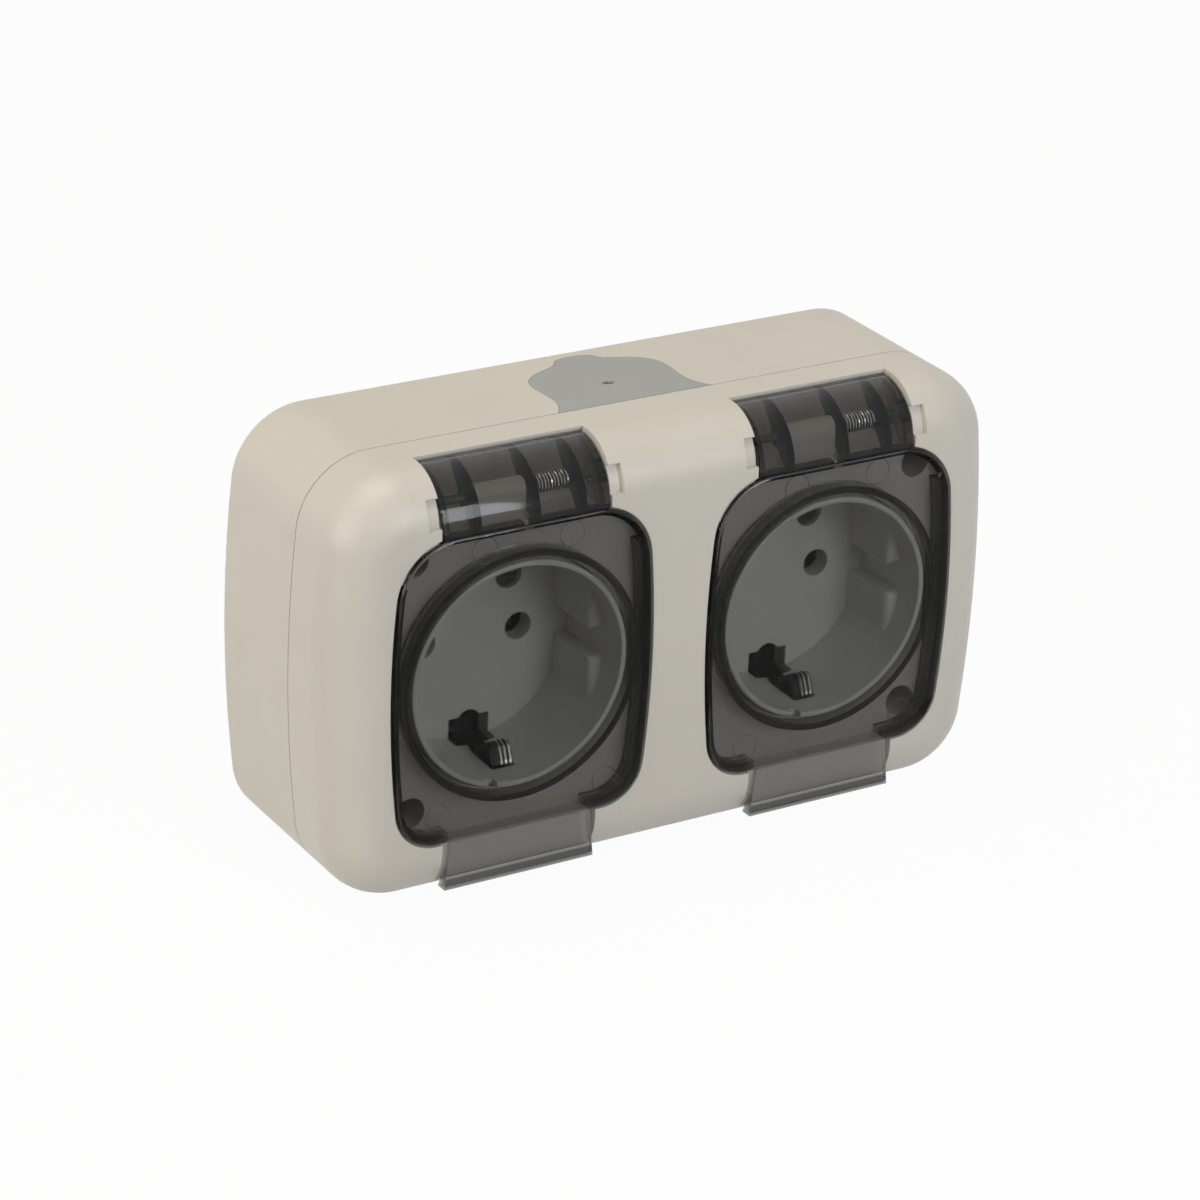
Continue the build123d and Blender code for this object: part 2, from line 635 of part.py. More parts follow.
def earth_link():
    """Strip under the two earth straps that joins them to the earth terminal."""
    end = SOCKET_SPACING / 2 + EARTH_WIDTH / 2
    level = strap_back - STRIP
    link = block((-end, end), (LINK_Y - LINK_WIDTH / 2, LINK_Y + LINK_WIDTH / 2), (level, strap_back))
    return link - rod(0, LINK_Y, TERMINAL_R + STRIP_FIT / 4, level, strap_back)


def terminal_screws():
    """Terminal screws of the two poles and of the earth link."""
    screw = slotted_screw(TERMINAL_R, TERMINAL_HEAD_R, TERMINAL_HEAD, TERMINAL_DEPTH)
    top = BUS_BACK + BUS_HEIGHT
    places = ((-TERMINAL_X, terminal_y, top), (TERMINAL_X, -terminal_y, top), (0, LINK_Y, strap_back))
    return [Pos(*place) * screw for place in places]


tray = box_shell()
bus = line_bus()
nodes = {
    "back_box": [back_box(tray)],
    "cable_membrane": [cable_membrane(tray)],
    "front_cover": [front_cover()],
    "cover_gasket": [cover_gasket()],
    "cover_screws": cover_screws(),
    "insert_screws": insert_screws(),
    "contact_base": [contact_base()],
    "base_screws": base_screws(),
    "line_bus": [bus],
    "neutral_bus": [Rot(0, 0, 180) * bus],
    "earth_link": [earth_link()],
    "terminal_screws": terminal_screws(),
}
side_pieces = {
    "socket_insert": socket_insert(),
    "insert_seal": insert_seal(),
    "earth_strap": earth_strap(),
    "hinge_pin": hinge_pin(),
    "lid_spring": lid_spring(),
    "lid": lid(),
}
for side, x in zip(("left", "right"), socket_places):
    for name, piece in side_pieces.items():
        nodes[f"{side}_{name}"] = [Pos(x, 0, 0) * piece]

upright = Rot(90, 0, 0)
os.makedirs("parts", exist_ok=True)
for name, pieces in nodes.items():
    solids = [solid for piece in pieces for solid in (upright * piece).solids()]
    export_step(Compound(children=solids) if len(solids) > 1 else solids[0], f"parts/{name}.step")
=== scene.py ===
import json
from math import pi, radians

import bpy
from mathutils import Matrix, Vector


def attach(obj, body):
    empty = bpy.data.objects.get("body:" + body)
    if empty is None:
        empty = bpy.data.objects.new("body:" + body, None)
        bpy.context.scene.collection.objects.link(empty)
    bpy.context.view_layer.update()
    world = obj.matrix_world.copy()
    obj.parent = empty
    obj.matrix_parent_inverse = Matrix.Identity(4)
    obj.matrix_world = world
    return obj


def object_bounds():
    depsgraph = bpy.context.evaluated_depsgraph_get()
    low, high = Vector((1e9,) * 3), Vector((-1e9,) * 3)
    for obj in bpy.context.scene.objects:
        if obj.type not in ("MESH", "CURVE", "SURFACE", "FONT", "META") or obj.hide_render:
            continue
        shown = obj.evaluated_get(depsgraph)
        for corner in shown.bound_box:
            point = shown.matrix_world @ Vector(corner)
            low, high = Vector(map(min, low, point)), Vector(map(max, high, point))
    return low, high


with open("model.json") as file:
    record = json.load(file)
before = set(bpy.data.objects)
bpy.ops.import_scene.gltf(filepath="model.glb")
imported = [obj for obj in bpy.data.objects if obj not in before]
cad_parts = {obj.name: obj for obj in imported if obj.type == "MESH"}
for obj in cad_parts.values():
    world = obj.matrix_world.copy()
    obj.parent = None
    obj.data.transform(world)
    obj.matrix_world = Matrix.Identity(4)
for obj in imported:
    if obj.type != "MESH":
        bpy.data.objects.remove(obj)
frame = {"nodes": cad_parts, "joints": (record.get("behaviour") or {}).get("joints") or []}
cad_low, cad_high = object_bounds()
scene = bpy.context.scene
scene.view_settings.view_transform = "Standard"

# Camera: a long lens to the left of the socket and well above it, tipped a little.
# Its place and turn come from the edges of the housing and the lids in the photograph.
lens = bpy.data.cameras.new("product_camera")
lens.sensor_width = 36
lens.lens = 128.5
lens.clip_start = 0.05
camera = bpy.data.objects.new("product_camera", lens)
camera.location = (-0.36376, -0.61351, 0.31054)
camera.rotation_euler = [radians(turn) for turn in (65.8747, -1.8464, -30.4943)]
scene.collection.objects.link(camera)
scene.camera = camera


# Studio: a wide pale paper floor under the socket and a soft even sky.
# Both are plain white to the camera, to gloss and through the lids, and the floor keeps a faint shadow.
def put(tree, socket, value):
    """Links a socket to another one, or sets it to a plain value."""
    if isinstance(value, bpy.types.NodeSocket):
        tree.links.new(value, socket)
    else:
        socket.default_value = value


def add(tree, kind, inputs=None, family="ShaderNode", **settings):
    """A node with its sockets set or linked."""
    made = tree.nodes.new(family + kind)
    for name, value in settings.items():
        setattr(made, name, value)
    for name, value in (inputs or {}).items():
        put(tree, made.inputs[name], value)
    return made


def calc(tree, operation, first, second=0.0):
    """A calculation on one or two values, of which either may be a socket."""
    made = add(tree, "Math", operation=operation)
    put(tree, made.inputs[0], first)
    put(tree, made.inputs[1], second)
    return made.outputs[0]


def seen_directly(tree, share):
    """A mask of the rays that show the backdrop: from the camera, off gloss and through the lids."""
    path = add(tree, "LightPath").outputs
    rays = calc(tree, "MAXIMUM", path["Is Camera Ray"], path["Is Glossy Ray"])
    rays = calc(tree, "MAXIMUM", rays, path["Is Transmission Ray"])
    unscattered = calc(tree, "LESS_THAN", path["Diffuse Depth"], 0.5)
    return calc(tree, "MULTIPLY", calc(tree, "MULTIPLY", rays, unscattered), share)


def mixed(tree, mask, first, second):
    """Two shaders mixed by a mask."""
    mix = add(tree, "MixShader", {"Fac": mask})
    tree.links.new(first, mix.inputs[1])
    tree.links.new(second, mix.inputs[2])
    return mix.outputs[0]


sky = bpy.data.worlds.new("studio_sky")
sky.use_nodes = True
sky.node_tree.nodes.clear()
glow = add(sky.node_tree, "Background", {"Color": (0.92, 0.95, 1.0, 1), "Strength": 0.2})
white = add(sky.node_tree, "Background", {"Color": (1, 1, 1, 1), "Strength": 1.0})
sky_mix = mixed(sky.node_tree, seen_directly(sky.node_tree, 1.0), glow.outputs[0], white.outputs[0])
add(sky.node_tree, "OutputWorld", {"Surface": sky_mix})
scene.world = sky

floor_half = 4.0
floor_white_share = 0.96
floor_mesh = bpy.data.meshes.new("studio_floor")
floor_mesh.from_pydata(
    [(x * floor_half, y * floor_half, cad_low.z) for x, y in ((-1, -1), (1, -1), (1, 1), (-1, 1))],
    [],
    [(0, 1, 2, 3)],
)
floor = bpy.data.objects.new("studio_floor", floor_mesh)
scene.collection.objects.link(floor)
paper = bpy.data.materials.new("floor_paper")
paper.use_nodes = True
paper.node_tree.nodes.clear()
matt = add(paper.node_tree, "BsdfDiffuse", {"Color": (0.6, 0.6, 0.6, 1)})
lit = add(paper.node_tree, "Emission", {"Color": (1, 1, 1, 1), "Strength": 1.0})
paper_seen = seen_directly(paper.node_tree, floor_white_share)
paper_mix = mixed(paper.node_tree, paper_seen, matt.outputs[0], lit.outputs[0])
add(paper.node_tree, "OutputMaterial", {"Surface": paper_mix})
floor_mesh.materials.append(paper)

# Lamps: a near softbox in front and to the right, which reaches into the cups and glints in a hood,
# a warm overhead one and a large one on the left.
for name, place, watts, size, tint in (
    ("front_softbox", (0.11, -0.52, 0.19), 1.2, 0.22, (0.9, 0.94, 1.0)),
    ("overhead_softbox", (-0.15, 0.05, 0.95), 5.0, 0.7, (1.0, 0.92, 0.74)),
    ("left_softbox", (-1.1, -0.1, 0.3), 5.8, 0.6, (1.0, 0.95, 0.92)),
):
    lamp = bpy.data.lights.new(name, "AREA")
    lamp.energy = watts
    lamp.size = size
    lamp.color = tint
    holder = bpy.data.objects.new(name, lamp)
    holder.location = place
    holder.rotation_euler = (-holder.location).to_track_quat("-Z", "Y").to_euler()
    scene.collection.objects.link(holder)


# Back box: the tray that is screwed to the wall, moulded in a warm grey, weatherproof plastic.
# Its faces have the fine spark-eroded grain of the mould, and its edges are slightly rounded.
def shared(name, inputs, outputs):
    """An empty shader group with named sockets."""
    tree = bpy.data.node_groups.new(name, "ShaderNodeTree")
    for label, kind in inputs:
        tree.interface.new_socket(label, in_out="INPUT", socket_type="NodeSocket" + kind)
    for label, kind in outputs:
        tree.interface.new_socket(label, in_out="OUTPUT", socket_type="NodeSocket" + kind)
    return tree, tree.nodes.new("NodeGroupInput"), tree.nodes.new("NodeGroupOutput")


def noise(tree, scale, detail=2.0):
    """Cloud noise on the piece's own coordinates."""
    place = add(tree, "TexCoord")
    cloud = add(tree, "TexNoise", {"Vector": place.outputs["Object"], "Scale": scale, "Detail": detail})
    return cloud.outputs[0]


def spread(tree, value, low, high):
    """A noise value, which mostly lies from 0.3 to 0.7, spread between two limits."""
    limits = {"From Min": 0.3, "From Max": 0.7, "To Min": low, "To Max": high}
    return add(tree, "MapRange", {"Value": value, **limits}).outputs[0]


skin, skin_in, skin_out = shared(
    "moulded_skin",
    (
        ("Color", "Color"),
        ("Mottle", "Float"),
        ("Roughness", "Float"),
        ("Grain Scale", "Float"),
        ("Grain Depth", "Float"),
        ("Edge Radius", "Float"),
    ),
    (("Color", "Color"), ("Roughness", "Float"), ("Normal", "Vector")),
)
mottle_low = calc(skin, "SUBTRACT", 1.0, skin_in.outputs["Mottle"])
mottle_high = calc(skin, "ADD", 1.0, skin_in.outputs["Mottle"])
flow = spread(skin, noise(skin, scale=42.0, detail=4.0), mottle_low, mottle_high)
shade = add(skin, "HueSaturation", {"Color": skin_in.outputs["Color"], "Value": flow})
sheen_low = calc(skin, "SUBTRACT", skin_in.outputs["Roughness"], 0.04)
sheen_high = calc(skin, "ADD", skin_in.outputs["Roughness"], 0.05)
sheen = spread(skin, noise(skin, scale=130.0, detail=3.0), sheen_low, sheen_high)
rounding = add(skin, "Bevel", {"Radius": skin_in.outputs["Edge Radius"]}, samples=6)
grain = add(
    skin,
    "Bump",
    {
        "Height": noise(skin, skin_in.outputs["Grain Scale"]),
        "Distance": skin_in.outputs["Grain Depth"],
        "Normal": rounding.outputs[0],
    },
)
for label, socket in (("Color", shade.outputs[0]), ("Roughness", sheen), ("Normal", grain.outputs[0])):
    skin.links.new(socket, skin_out.inputs[label])


def finish_from(name, group, values):
    """A finish that takes its colour, roughness and grain from a shared group with its own values."""
    finish = bpy.data.materials.new(name)
    finish.use_nodes = True
    tree = finish.node_tree
    surface = tree.nodes["Principled BSDF"]
    look = add(tree, "Group", values, node_tree=group)
    tree.links.new(look.outputs["Color"], surface.inputs["Base Color"])
    tree.links.new(look.outputs["Roughness"], surface.inputs["Roughness"])
    tree.links.new(look.outputs["Normal"], surface.inputs["Normal"])
    return finish


def moulded(name, color, mottle, roughness, grain_scale, grain_depth, edge_radius):
    """A moulded plastic or rubber, with its own tone, grain and edge rounding."""
    values = {
        "Color": (*color, 1),
        "Mottle": mottle,
        "Roughness": roughness,
        "Grain Scale": grain_scale,
        "Grain Depth": grain_depth,
        "Edge Radius": edge_radius,
    }
    return finish_from(name, skin, values)


def finish_node(node, finish):
    """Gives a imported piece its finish."""
    slots = frame["nodes"][node].data.materials
    slots.clear()
    slots.append(finish)


housing_plastic = moulded(
    "housing_plastic",
    (0.60, 0.565, 0.50),
    mottle=0.02,
    roughness=0.42,
    grain_scale=2600.0,
    grain_depth=0.000012,
    edge_radius=0.0003,
)
finish_node("back_box", housing_plastic)


# Cable entry: a soft grey membrane pressed into the notch of the top wall, pierced when wired.
# It is matt, a little darker and cooler than the housing, with a dark slit painted on as painted shade of
# the recess where the cable goes through.
def rising(tree, value, low, high):
    """A mask that rises from none to full between two values."""
    return add(tree, "MapRange", {"Value": value, "From Min": low, "From Max": high}).outputs[0]


def blended(tree, mask, first, second):
    """Two colours mixed by a mask. A Mix node takes colours at its sockets 6 and 7."""
    mix = add(tree, "Mix", {"Factor": mask}, data_type="RGBA")
    put(tree, mix.inputs[6], first)
    put(tree, mix.inputs[7], second)
    return mix.outputs[2]


def darkened(finish, mask, dark):
    """Turns the colour of a finish to a dark one where the mask is low."""
    tree = finish.node_tree
    base = tree.nodes["Principled BSDF"].inputs["Base Color"]
    plain = base.links[0].from_socket
    tree.links.new(blended(tree, mask, (*dark, 1), plain), base)


membrane_rubber = moulded(
    "membrane_rubber",
    (0.352, 0.36, 0.36),
    mottle=0.03,
    roughness=0.62,
    grain_scale=3200.0,
    grain_depth=0.00002,
    edge_radius=0.0002,
)
slit_middle = (-0.0004, -0.0165)
slit_half_size = (0.00143, 0.0008)
slit_scale = [1 / half for half in slit_half_size]
slit_shift = [-middle * scale for middle, scale in zip(slit_middle, slit_scale)]
slit_tree = membrane_rubber.node_tree
slit_place = add(slit_tree, "TexCoord")
slit_sockets = {"Location": (*slit_shift, 0), "Scale": (*slit_scale, 0)}
slit = add(slit_tree, "Mapping", {"Vector": slit_place.outputs["Object"], **slit_sockets})
slit_reach = add(slit_tree, "VectorMath", operation="LENGTH")
slit_tree.links.new(slit.outputs[0], slit_reach.inputs[0])
around_slit = rising(slit_tree, slit_reach.outputs["Value"], 0.5, 1.0)
# Painted shade: the slit is painted near black, for the shadow in its recess.
darkened(membrane_rubber, around_slit, (0.05, 0.05, 0.05))
finish_node("cable_membrane", membrane_rubber)

# Front cover: the moulded front half, of the same plastic as the box, held by four screws.
# It carries the pockets for the lids, the troughs for their hoods and the bearing blocks.
finish_node("front_cover", housing_plastic)

# Seals: black rubber between the box and the cover, and behind the flange of each insert.
# They are cut from cord and sheet, and only their edges could ever be seen.
seal_rubber = moulded(
    "seal_rubber",
    (0.03, 0.03, 0.032),
    mottle=0.12,
    roughness=0.7,
    grain_scale=2200.0,
    grain_depth=0.00003,
    edge_radius=0.0001,
)
for node in ("cover_gasket", "left_insert_seal", "right_insert_seal"):
    finish_node(node, seal_rubber)

# Contact base: the block behind the inserts, pressed from a dark thermoset, made near black as partly
# painted shade.
# It holds the strips, and is seen only as the dark behind the pin holes and earth openings.
# Its near-black colour is partly its own and partly painted shade for the pin holes and earth openings.
thermoset = moulded(
    "base_thermoset",
    (0.005, 0.005, 0.005),
    mottle=0.15,
    roughness=0.55,
    grain_scale=1800.0,
    grain_depth=0.00003,
    edge_radius=0.0002,
)
thermoset.node_tree.nodes["Principled BSDF"].inputs["Specular IOR Level"].default_value = 0.1
finish_node("contact_base", thermoset)

# Socket inserts: the plug recesses, moulded in a light grey plastic and seated behind the cover.
# Their floors and walls are satin, with a fine grain, and a screw in each floor holds them.
insert_plastic = moulded(
    "insert_plastic",
    (0.76, 0.745, 0.71),
    mottle=0.03,
    roughness=0.4,
    grain_scale=3000.0,
    grain_depth=0.00001,
    edge_radius=0.00025,
)
for node in ("left_socket_insert", "right_socket_insert"):
    finish_node(node, insert_plastic)

# Metal strips: the nickel-plated earth straps and the brass strips, stamped from rolled sheet.
# Fine streaks follow the rolling, and the metal dulls in soft clouds. The straps are painted dark, as
# painted shade, apart from painted highlights on the bead ridges of the right half of each nose.
metal, metal_in, metal_out = shared(
    "rolled_metal",
    (("Color", "Color"), ("Dull Color", "Color"), ("Roughness", "Float"), ("Streaks", "Vector")),
    (("Color", "Color"), ("Roughness", "Float"), ("Normal", "Vector")),
)
metal_place = add(metal, "TexCoord")
stretch = add(metal, "VectorMath", operation="MULTIPLY")
metal.links.new(metal_place.outputs["Object"], stretch.inputs[0])
metal.links.new(metal_in.outputs["Streaks"], stretch.inputs[1])
streak = add(metal, "TexNoise", {"Vector": stretch.outputs[0], "Scale": 1.0, "Detail": 3.0})
clouds = spread(metal, noise(metal, scale=420.0, detail=4.0), 0.0, 0.6)
tarnish = blended(metal, clouds, metal_in.outputs["Color"], metal_in.outputs["Dull Color"])
wear_low = calc(metal, "SUBTRACT", metal_in.outputs["Roughness"], 0.06)
wear_high = calc(metal, "ADD", metal_in.outputs["Roughness"], 0.1)
wear = spread(metal, streak.outputs[0], wear_low, wear_high)
rolled = add(metal, "Bump", {"Height": streak.outputs[0], "Distance": 0.000008})
for label, socket in (("Color", tarnish), ("Roughness", wear), ("Normal", rolled.outputs[0])):
    metal.links.new(socket, metal_out.inputs[label])


def plated(name, color, dull, roughness, streaks):
    """A bare or plated metal, with its streaks scaled along each axis."""
    values = {"Color": (*color, 1), "Dull Color": (*dull, 1), "Roughness": roughness, "Streaks": streaks}
    finish = finish_from(name, metal, values)
    finish.node_tree.nodes["Principled BSDF"].inputs["Metallic"].default_value = 1.0
    return finish


def object_axes(tree):
    """The three coordinates of a point on the piece."""
    place = add(tree, "TexCoord")
    return add(tree, "SeparateXYZ", {"Vector": place.outputs["Object"]}).outputs


right_hinge = next(joint for joint in frame["joints"] if joint["name"] == "right_lid_hinge")
socket_middle, hinge_y, hinge_z = right_hinge["pos_m"]


def from_middle(tree, x):
    """How far a point lies to the right of the middle of its own socket."""
    middle = calc(tree, "MULTIPLY", calc(tree, "SIGN", x), socket_middle)
    return calc(tree, "SUBTRACT", x, middle)


bead_spacing = 0.0009
nose_y = (-0.0265, -0.029)
glint_half_x = (-0.0005, -0.0001)
ridge_levels = (-0.2, 0.5)
nickel = plated(
    "clip_nickel",
    (1.0, 0.98, 0.94),
    dull=(0.8, 0.78, 0.74),
    roughness=0.26,
    streaks=(4000.0, 300.0, 300.0),
)
nickel_tree = nickel.node_tree
# Painted shade and highlights: the strap is painted near black, and painted highlights stand on the ridge
# tops of the right half of its nose.
clip = object_axes(nickel_tree)
nose = rising(nickel_tree, clip["Y"], *nose_y)
glint_half = rising(nickel_tree, from_middle(nickel_tree, clip["X"]), *glint_half_x)
ridges = calc(nickel_tree, "SINE", calc(nickel_tree, "MULTIPLY", clip["X"], 2 * pi / bead_spacing))
ridge_tops = rising(nickel_tree, ridges, *ridge_levels)
painted_glints = calc(nickel_tree, "MULTIPLY", calc(nickel_tree, "MULTIPLY", nose, glint_half), ridge_tops)
darkened(nickel, painted_glints, (0.035, 0.034, 0.032))
for node in ("left_earth_strap", "right_earth_strap", "earth_link"):
    finish_node(node, nickel)
brass = plated(
    "bus_brass",
    (0.55, 0.44, 0.25),
    dull=(0.36, 0.28, 0.15),
    roughness=0.28,
    streaks=(200.0, 4000.0, 4000.0),
)
for node in ("line_bus", "neutral_bus"):
    finish_node(node, brass)

# Screws: turned and rolled from steel wire. Those of the terminals and the contact base are zinc plated,
# and those of the cover and the inserts are blackened and darkened further as painted shade, so they hardly
# show in their holes.
zinc = plated(
    "screw_zinc",
    (0.62, 0.62, 0.6),
    dull=(0.42, 0.42, 0.42),
    roughness=0.3,
    streaks=(2500.0, 2500.0, 2500.0),
)
for node in ("base_screws", "terminal_screws"):
    finish_node(node, zinc)
drawn_streaks = (300.0, 5000.0, 5000.0)
dark_steel = plated(
    "pin_dark_steel",
    (0.1, 0.098, 0.095),
    dull=(0.06, 0.058, 0.055),
    roughness=0.4,
    streaks=drawn_streaks,
)
# Painted shade, in part: the cover and insert screws are dark so that their deep holes read dark.
for node in ("insert_screws", "cover_screws"):
    finish_node(node, dark_steel)

# Hinges: each lid turns on a dark drawn steel pin, and a bright coil spring round the pin pulls it shut.
# Both are seen only through the hood. The valleys between the coils are painted nearly black, as painted
# shade.
for node in ("left_hinge_pin", "right_hinge_pin"):
    finish_node(node, dark_steel)
coil_start = 0.0036
coil_pitch = 0.00062
coil_levels = (-0.1, 0.6)
spring_steel = plated(
    "hinge_steel",
    (0.95, 0.94, 0.92),
    dull=(0.75, 0.74, 0.72),
    roughness=0.2,
    streaks=drawn_streaks,
)
spring_tree = spring_steel.node_tree
coil = object_axes(spring_tree)
coil_rise = calc(spring_tree, "SUBTRACT", coil["Z"], hinge_z)
coil_back = calc(spring_tree, "SUBTRACT", coil["Y"], hinge_y)
coil_angle = calc(spring_tree, "ARCTAN2", coil_rise, coil_back)
coil_along = calc(spring_tree, "SUBTRACT", from_middle(spring_tree, coil["X"]), coil_start)
coil_turn = calc(spring_tree, "MULTIPLY", coil_along, 2 * pi / coil_pitch)
coil_wave = calc(spring_tree, "COSINE", calc(spring_tree, "SUBTRACT", coil_turn, coil_angle))
# Painted shade: the valleys between the turns are painted near black along the helix.
darkened(spring_steel, rising(spring_tree, coil_wave, *coil_levels), (0.01, 0.01, 0.01))
for node in ("left_lid_spring", "right_lid_spring"):
    finish_node(node, spring_steel)

# Lids: moulded in one piece from glossy polycarbonate with a smoke tint in its depth, and hung on the pin.
# The lip, the tab, the plate and the hood each have their own tone. The hood's inner webs and foot ribs are
# nearly black, its end webs clear and its rear matt. The left and lower rims let light straight through.
smoked = bpy.data.materials.new("smoked_polycarbonate")
smoked.use_nodes = True
smoke_tree = smoked.node_tree
smoke = smoke_tree.nodes["Principled BSDF"]
smoke.inputs["IOR"].default_value = 1.58
smoke.inputs["Transmission Weight"].default_value = 1.0
lid = object_axes(smoke_tree)
lid_along = from_middle(smoke_tree, lid["X"])
zone_reach = 0.04
lip_top_z = (-0.03548, -0.035)
tab_top_z = (-0.0286, -0.0282)
plate_top_z = (0.0282, 0.0286)
blue_share = 0.995
zone = rising(smoke_tree, lid["Z"], -zone_reach, zone_reach)


def by_zone(lip, tab, plate, hood):
    """A grey level for each part of the lid: the tab's lip, the tab, the plate and the hood."""
    ramp = add(smoke_tree, "ValToRGB", {"Fac": zone})
    stops = ramp.color_ramp.elements
    heights = (*lip_top_z, *tab_top_z, *plate_top_z)
    places = [(height + zone_reach) / (2 * zone_reach) for height in heights]
    stops[0].position = places[0]
    stops[1].position = places[-1]
    for place in places[1:-1]:
        stops.new(place)
    for stop, level in zip(stops, (lip, tab, tab, plate, plate, hood)):
        stop.color = (level, level, level * blue_share, 1)
    return ramp.outputs[0]


def near(value, middle, half):
    """A mask of the places where a value lies within a half width of its middle."""
    made = add(smoke_tree, "Math", operation="COMPARE")
    for socket, number in zip(made.inputs, (value, middle, half)):
        put(smoke_tree, socket, number)
    return made.outputs[0]


def both(first, second):
    """A mask of the places where two masks meet, or a share of one mask."""
    return calc(smoke_tree, "MULTIPLY", first, second)


def either(first, second):
    """The larger of two masks or values."""
    return calc(smoke_tree, "MAXIMUM", first, second)


def toned(mask, first, level):
    """A colour that turns to a grey level where the mask is."""
    return blended(smoke_tree, mask, first, (level, level, level, 1))


# Up to 0.1 mm is added to these sizes, so that each mask takes in whole faces, or leaves them out.
hood_axis = (0, -0.0324, 0.02835)
hood_inner_r = 0.00915
hood_low_z = 0.0271
hood_end_y = (-0.0327, -0.0325)
web_places = (-0.0092, 0.0022, 0.0112)
end_web_place = 0.01525
web_half = 0.00078
foot_rib_z = 0.02775
foot_rib_half = 0.0007
plate_back_y = -0.0413
plate_gap = 0.0001
dark_level = 0.015
clear_level = 0.97
lid_section = add(smoke_tree, "CombineXYZ", {"Y": lid["Y"], "Z": lid["Z"]})
hood_arm = add(smoke_tree, "VectorMath", operation="DISTANCE")
smoke_tree.links.new(lid_section.outputs[0], hood_arm.inputs[0])
hood_arm.inputs[1].default_value = hood_axis
in_hood = calc(smoke_tree, "LESS_THAN", hood_arm.outputs["Value"], hood_inner_r)
under_hood = both(in_hood, calc(smoke_tree, "GREATER_THAN", lid["Z"], hood_low_z))
webs = near(lid_along, web_places[0], web_half)
for place in web_places[1:]:
    webs = either(webs, near(lid_along, place, web_half))
behind_plate = calc(smoke_tree, "GREATER_THAN", lid["Y"], plate_back_y + plate_gap)
foot_ribs = both(near(lid["Z"], foot_rib_z, foot_rib_half), behind_plate)
end_webs = near(calc(smoke_tree, "ABSOLUTE", lid_along), end_web_place, web_half)
plain_tone = by_zone(lip=0.42, tab=clear_level, plate=clear_level, hood=0.7)
tone = toned(both(end_webs, under_hood), plain_tone, clear_level)
tone = toned(either(both(webs, under_hood), foot_ribs), tone, dark_level)
haze = spread(smoke_tree, noise(smoke_tree, scale=70.0, detail=3.0), 0.96, 1.0)
hazed = add(smoke_tree, "HueSaturation", {"Color": tone, "Value": haze})
smoke_tree.links.new(hazed.outputs[0], smoke.inputs["Base Color"])

flat_facing = 0.97
plate_half = 0.0284
edge_gloss = 0.5
matt_roughness = 0.6
lid_normal = add(smoke_tree, "SeparateXYZ", {"Vector": add(smoke_tree, "TexCoord").outputs["Normal"]})
facing = calc(smoke_tree, "ABSOLUTE", lid_normal.outputs["Y"])
plate_edges = both(calc(smoke_tree, "LESS_THAN", facing, flat_facing), near(lid["Z"], 0.0, plate_half))
gloss = toned(plate_edges, by_zone(lip=0.2, tab=0.9, plate=0.05, hood=0.36), edge_gloss)
smoke_tree.links.new(gloss, smoke.inputs["Specular Tint"])
polish = spread(smoke_tree, noise(smoke_tree, scale=260.0, detail=3.0), 0.015, 0.06)
hood_end = rising(smoke_tree, lid["Y"], *hood_end_y)
smoke_tree.links.new(either(polish, both(hood_end, matt_roughness)), smoke.inputs["Roughness"])
ripple_height = noise(smoke_tree, scale=55.0, detail=1.0)
ripple = add(smoke_tree, "Bump", {"Height": ripple_height, "Distance": 0.00006})
smoke_tree.links.new(ripple.outputs[0], smoke.inputs["Normal"])

low_rim_z = -0.0255
left_rim_x = -0.0245
rim_share = 0.65
inside_share = 0.25
from_inside = add(smoke_tree, "NewGeometry").outputs["Backfacing"]
off_front = calc(smoke_tree, "GREATER_THAN", lid_normal.outputs["Y"], -flat_facing)
low_rim = calc(smoke_tree, "LESS_THAN", lid["Z"], low_rim_z)
left_rim = calc(smoke_tree, "LESS_THAN", lid_along, left_rim_x)
rim_light = either(both(off_front, rim_share), both(from_inside, inside_share))
clear_share = both(rim_light, either(low_rim, left_rim))
shadow_ray = add(smoke_tree, "LightPath").outputs["Is Shadow Ray"]
through_tone = by_zone(lip=0.7, tab=0.98, plate=0.98, hood=0.45)
through = add(smoke_tree, "BsdfTransparent", {"Color": through_tone})
smoke_surface = mixed(smoke_tree, either(shadow_ray, clear_share), smoke.outputs[0], through.outputs[0])
depth_tint = add(smoke_tree, "VolumeAbsorption", {"Color": (0.12, 0.12, 0.11, 1), "Density": 430.0})
smoke_end = smoke_tree.nodes["Material Output"]
smoke_tree.links.new(smoke_surface, smoke_end.inputs["Surface"])
smoke_tree.links.new(depth_tint.outputs[0], smoke_end.inputs["Volume"])
for node in ("left_lid", "right_lid"):
    finish_node(node, smoked)


# Ejector marks: four thin round witness lines on the back of each lid, in the same plastic.
# The pins that push the moulding off its core leave them in the corners outside the sealing rib.
def repeat_tree(name, inputs):
    """An empty geometry group with named inputs, and its two ends."""
    tree = bpy.data.node_groups.new(name, "GeometryNodeTree")
    tree.interface.new_socket("Geometry", in_out="INPUT", socket_type="NodeSocketGeometry")
    for label, kind in inputs:
        tree.interface.new_socket(label, in_out="INPUT", socket_type="NodeSocket" + kind)
    tree.interface.new_socket("Geometry", in_out="OUTPUT", socket_type="NodeSocketGeometry")
    return tree, tree.nodes.new("NodeGroupInput"), tree.nodes.new("NodeGroupOutput")


def grow(tree, kind, inputs, **settings):
    """A geometry node with its sockets set or linked."""
    return add(tree, kind, inputs, "GeometryNode", **settings)


def tube(tree, path, radius, sides, capped):
    """A thin round tube along a path."""
    section = grow(tree, "CurvePrimitiveCircle", {"Resolution": sides, "Radius": radius})
    sockets = {"Curve": path, "Profile Curve": section.outputs[0], "Fill Caps": capped}
    return grow(tree, "CurveToMesh", sockets).outputs[0]


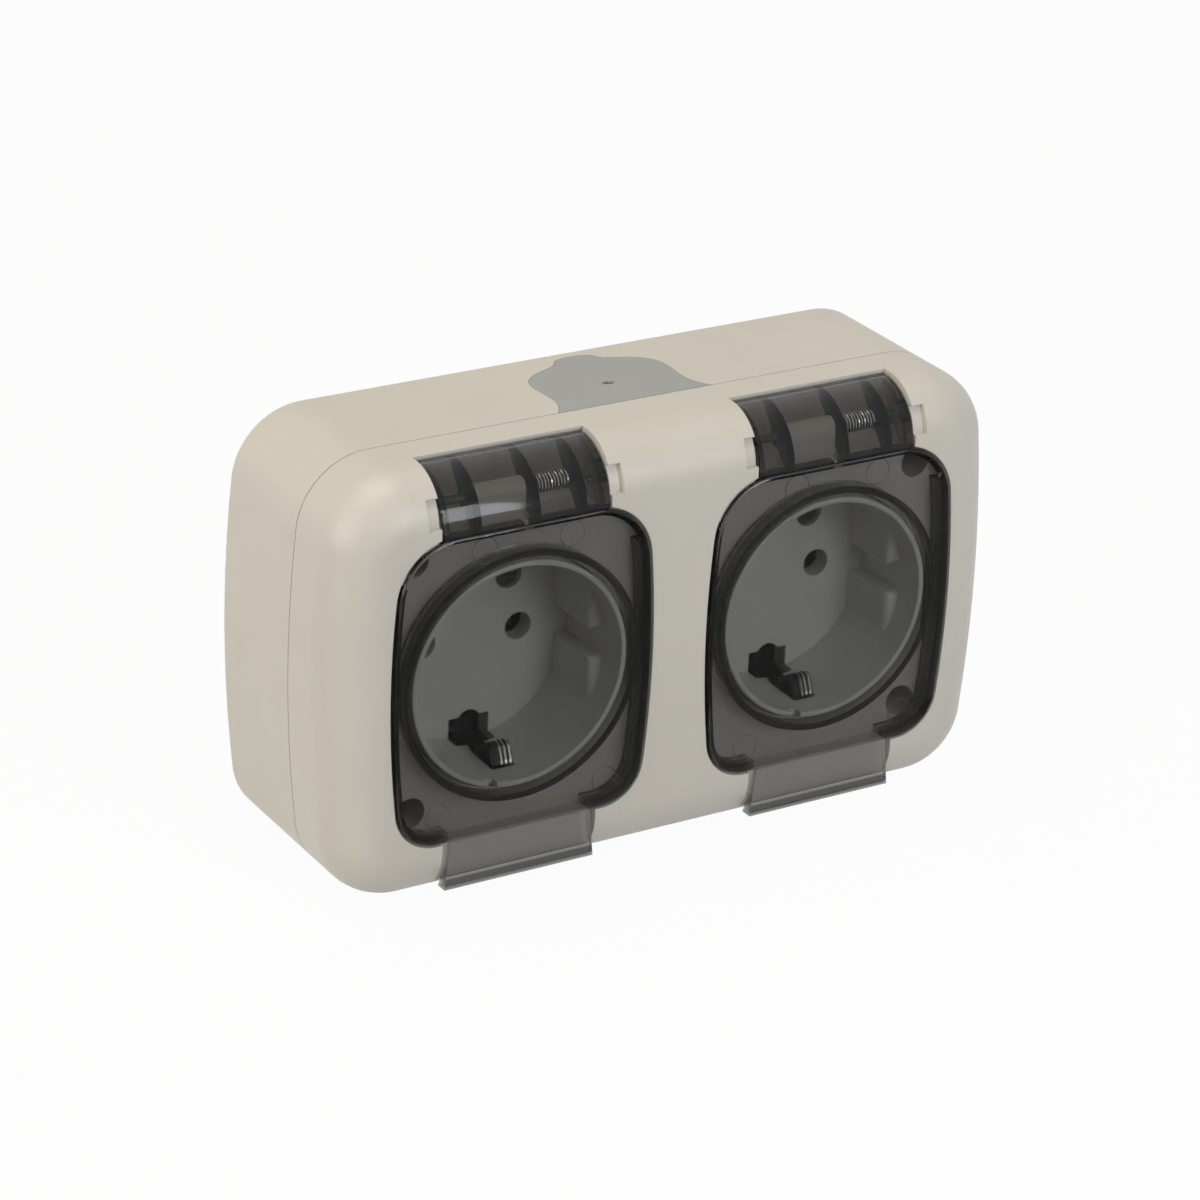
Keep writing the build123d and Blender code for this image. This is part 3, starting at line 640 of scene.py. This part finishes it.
def finish_repeat(tree, ends, points, instance, rotation):
    """Instances on points, made real and given the material of the group's input."""
    start, stop = ends
    sockets = {"Points": points, "Instance": instance, "Rotation": rotation}
    copies = grow(tree, "InstanceOnPoints", sockets)
    real = grow(tree, "RealizeInstances", {"Geometry": copies.outputs[0]})
    coat = {"Geometry": real.outputs[0], "Material": start.outputs["Material"]}
    tree.links.new(grow(tree, "SetMaterial", coat).outputs[0], stop.inputs[0])


def repeated(name, tree, vertices, edges, values, body):
    """A piece made by a geometry group from a few points, as one mesh on its body."""
    seed = bpy.data.meshes.new(name + "_seed")
    seed.from_pydata(vertices, edges, [])
    piece = bpy.data.objects.new(name, seed)
    scene.collection.objects.link(piece)
    growth = piece.modifiers.new(name, "NODES")
    growth.node_group = tree
    for item in tree.interface.items_tree:
        if item.in_out == "INPUT" and item.name in values:
            growth[item.identifier] = values[item.name]
    depsgraph = bpy.context.evaluated_depsgraph_get()
    grown = bpy.data.meshes.new_from_object(piece.evaluated_get(depsgraph), depsgraph=depsgraph)
    grown.name = name
    piece.modifiers.clear()
    piece.data = grown
    bpy.data.meshes.remove(seed)
    grown.shade_smooth()
    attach(piece, body)


marks, marks_in, marks_out = repeat_tree(
    "ejector_marks", (("Radius", "Float"), ("Line", "Float"), ("Material", "Material"))
)
mark_circle = grow(marks, "CurvePrimitiveCircle", {"Resolution": 64, "Radius": marks_in.outputs["Radius"]})
mark_ring = tube(marks, mark_circle.outputs[0], marks_in.outputs["Line"], sides=8, capped=False)
mark_turn = (radians(90), 0, 0)
finish_repeat(marks, (marks_in, marks_out), marks_in.outputs["Geometry"], mark_ring, mark_turn)
mark_r = 0.0024
mark_line_r = 0.00013
mark_y = plate_back_y + plate_gap + mark_line_r
mark_places = ((-0.0077, 0.0247), (0.0092, 0.0247), (-0.0159, -0.0237), (0.0172, -0.0237))
for side, x in (("left", -socket_middle), ("right", socket_middle)):
    repeated(
        side + "_lid_marks",
        marks,
        [(x + along, mark_y, z) for along, z in mark_places],
        [],
        {"Radius": mark_r, "Line": mark_line_r, "Material": smoked},
        side + "_lid",
    )

# Beads on the earth clips: ridges rolled along each nose, which stiffen it and wipe the plug's contact.
# They are of the strip's own metal, follow its bend and stand a little proud of it.
beads, beads_in, beads_out = repeat_tree(
    "clip_beads",
    (("Bend", "Float"), ("Bead", "Float"), ("Count", "Int"), ("Spacing", "Float"), ("Material", "Material")),
)
nose_line = grow(beads, "MeshToCurve", {"Mesh": beads_in.outputs["Geometry"]})
bend = {"Curve": nose_line.outputs[0], "Radius": beads_in.outputs["Bend"], "Count": 8}
bent_nose = grow(beads, "FilletCurve", bend, mode="POLY")
bead = tube(beads, bent_nose.outputs[0], beads_in.outputs["Bead"], sides=14, capped=True)
bead_gaps = calc(beads, "SUBTRACT", beads_in.outputs["Count"], 1.0)
row_width = calc(beads, "MULTIPLY", bead_gaps, beads_in.outputs["Spacing"])
row_start = add(beads, "CombineXYZ", {"X": calc(beads, "MULTIPLY", row_width, -0.5)})
row_step = add(beads, "CombineXYZ", {"X": beads_in.outputs["Spacing"]})
row = {"Start Location": row_start.outputs[0], "Offset": row_step.outputs[0]}
bead_row = grow(beads, "MeshLine", {"Count": beads_in.outputs["Count"], **row})
finish_repeat(beads, (beads_in, beads_out), bead_row.outputs[0], bead, (0, 0, 0))
nose_profile = ((-0.0293, 0.0188), (-0.0336, 0.0158), (-0.0348, 0.0189))
nose_points = []
nose_edges = []
for x in (-socket_middle, socket_middle):
    for end in (-1, 1):
        count = len(nose_points)
        nose_points += [(x, y, end * z) for y, z in nose_profile]
        nose_edges += [(count, count + 1), (count + 1, count + 2)]
repeated(
    "clip_beads",
    beads,
    nose_points,
    nose_edges,
    {"Bend": 0.001, "Bead": 0.00054, "Count": 4, "Spacing": bead_spacing, "Material": nickel},
    "housing",
)
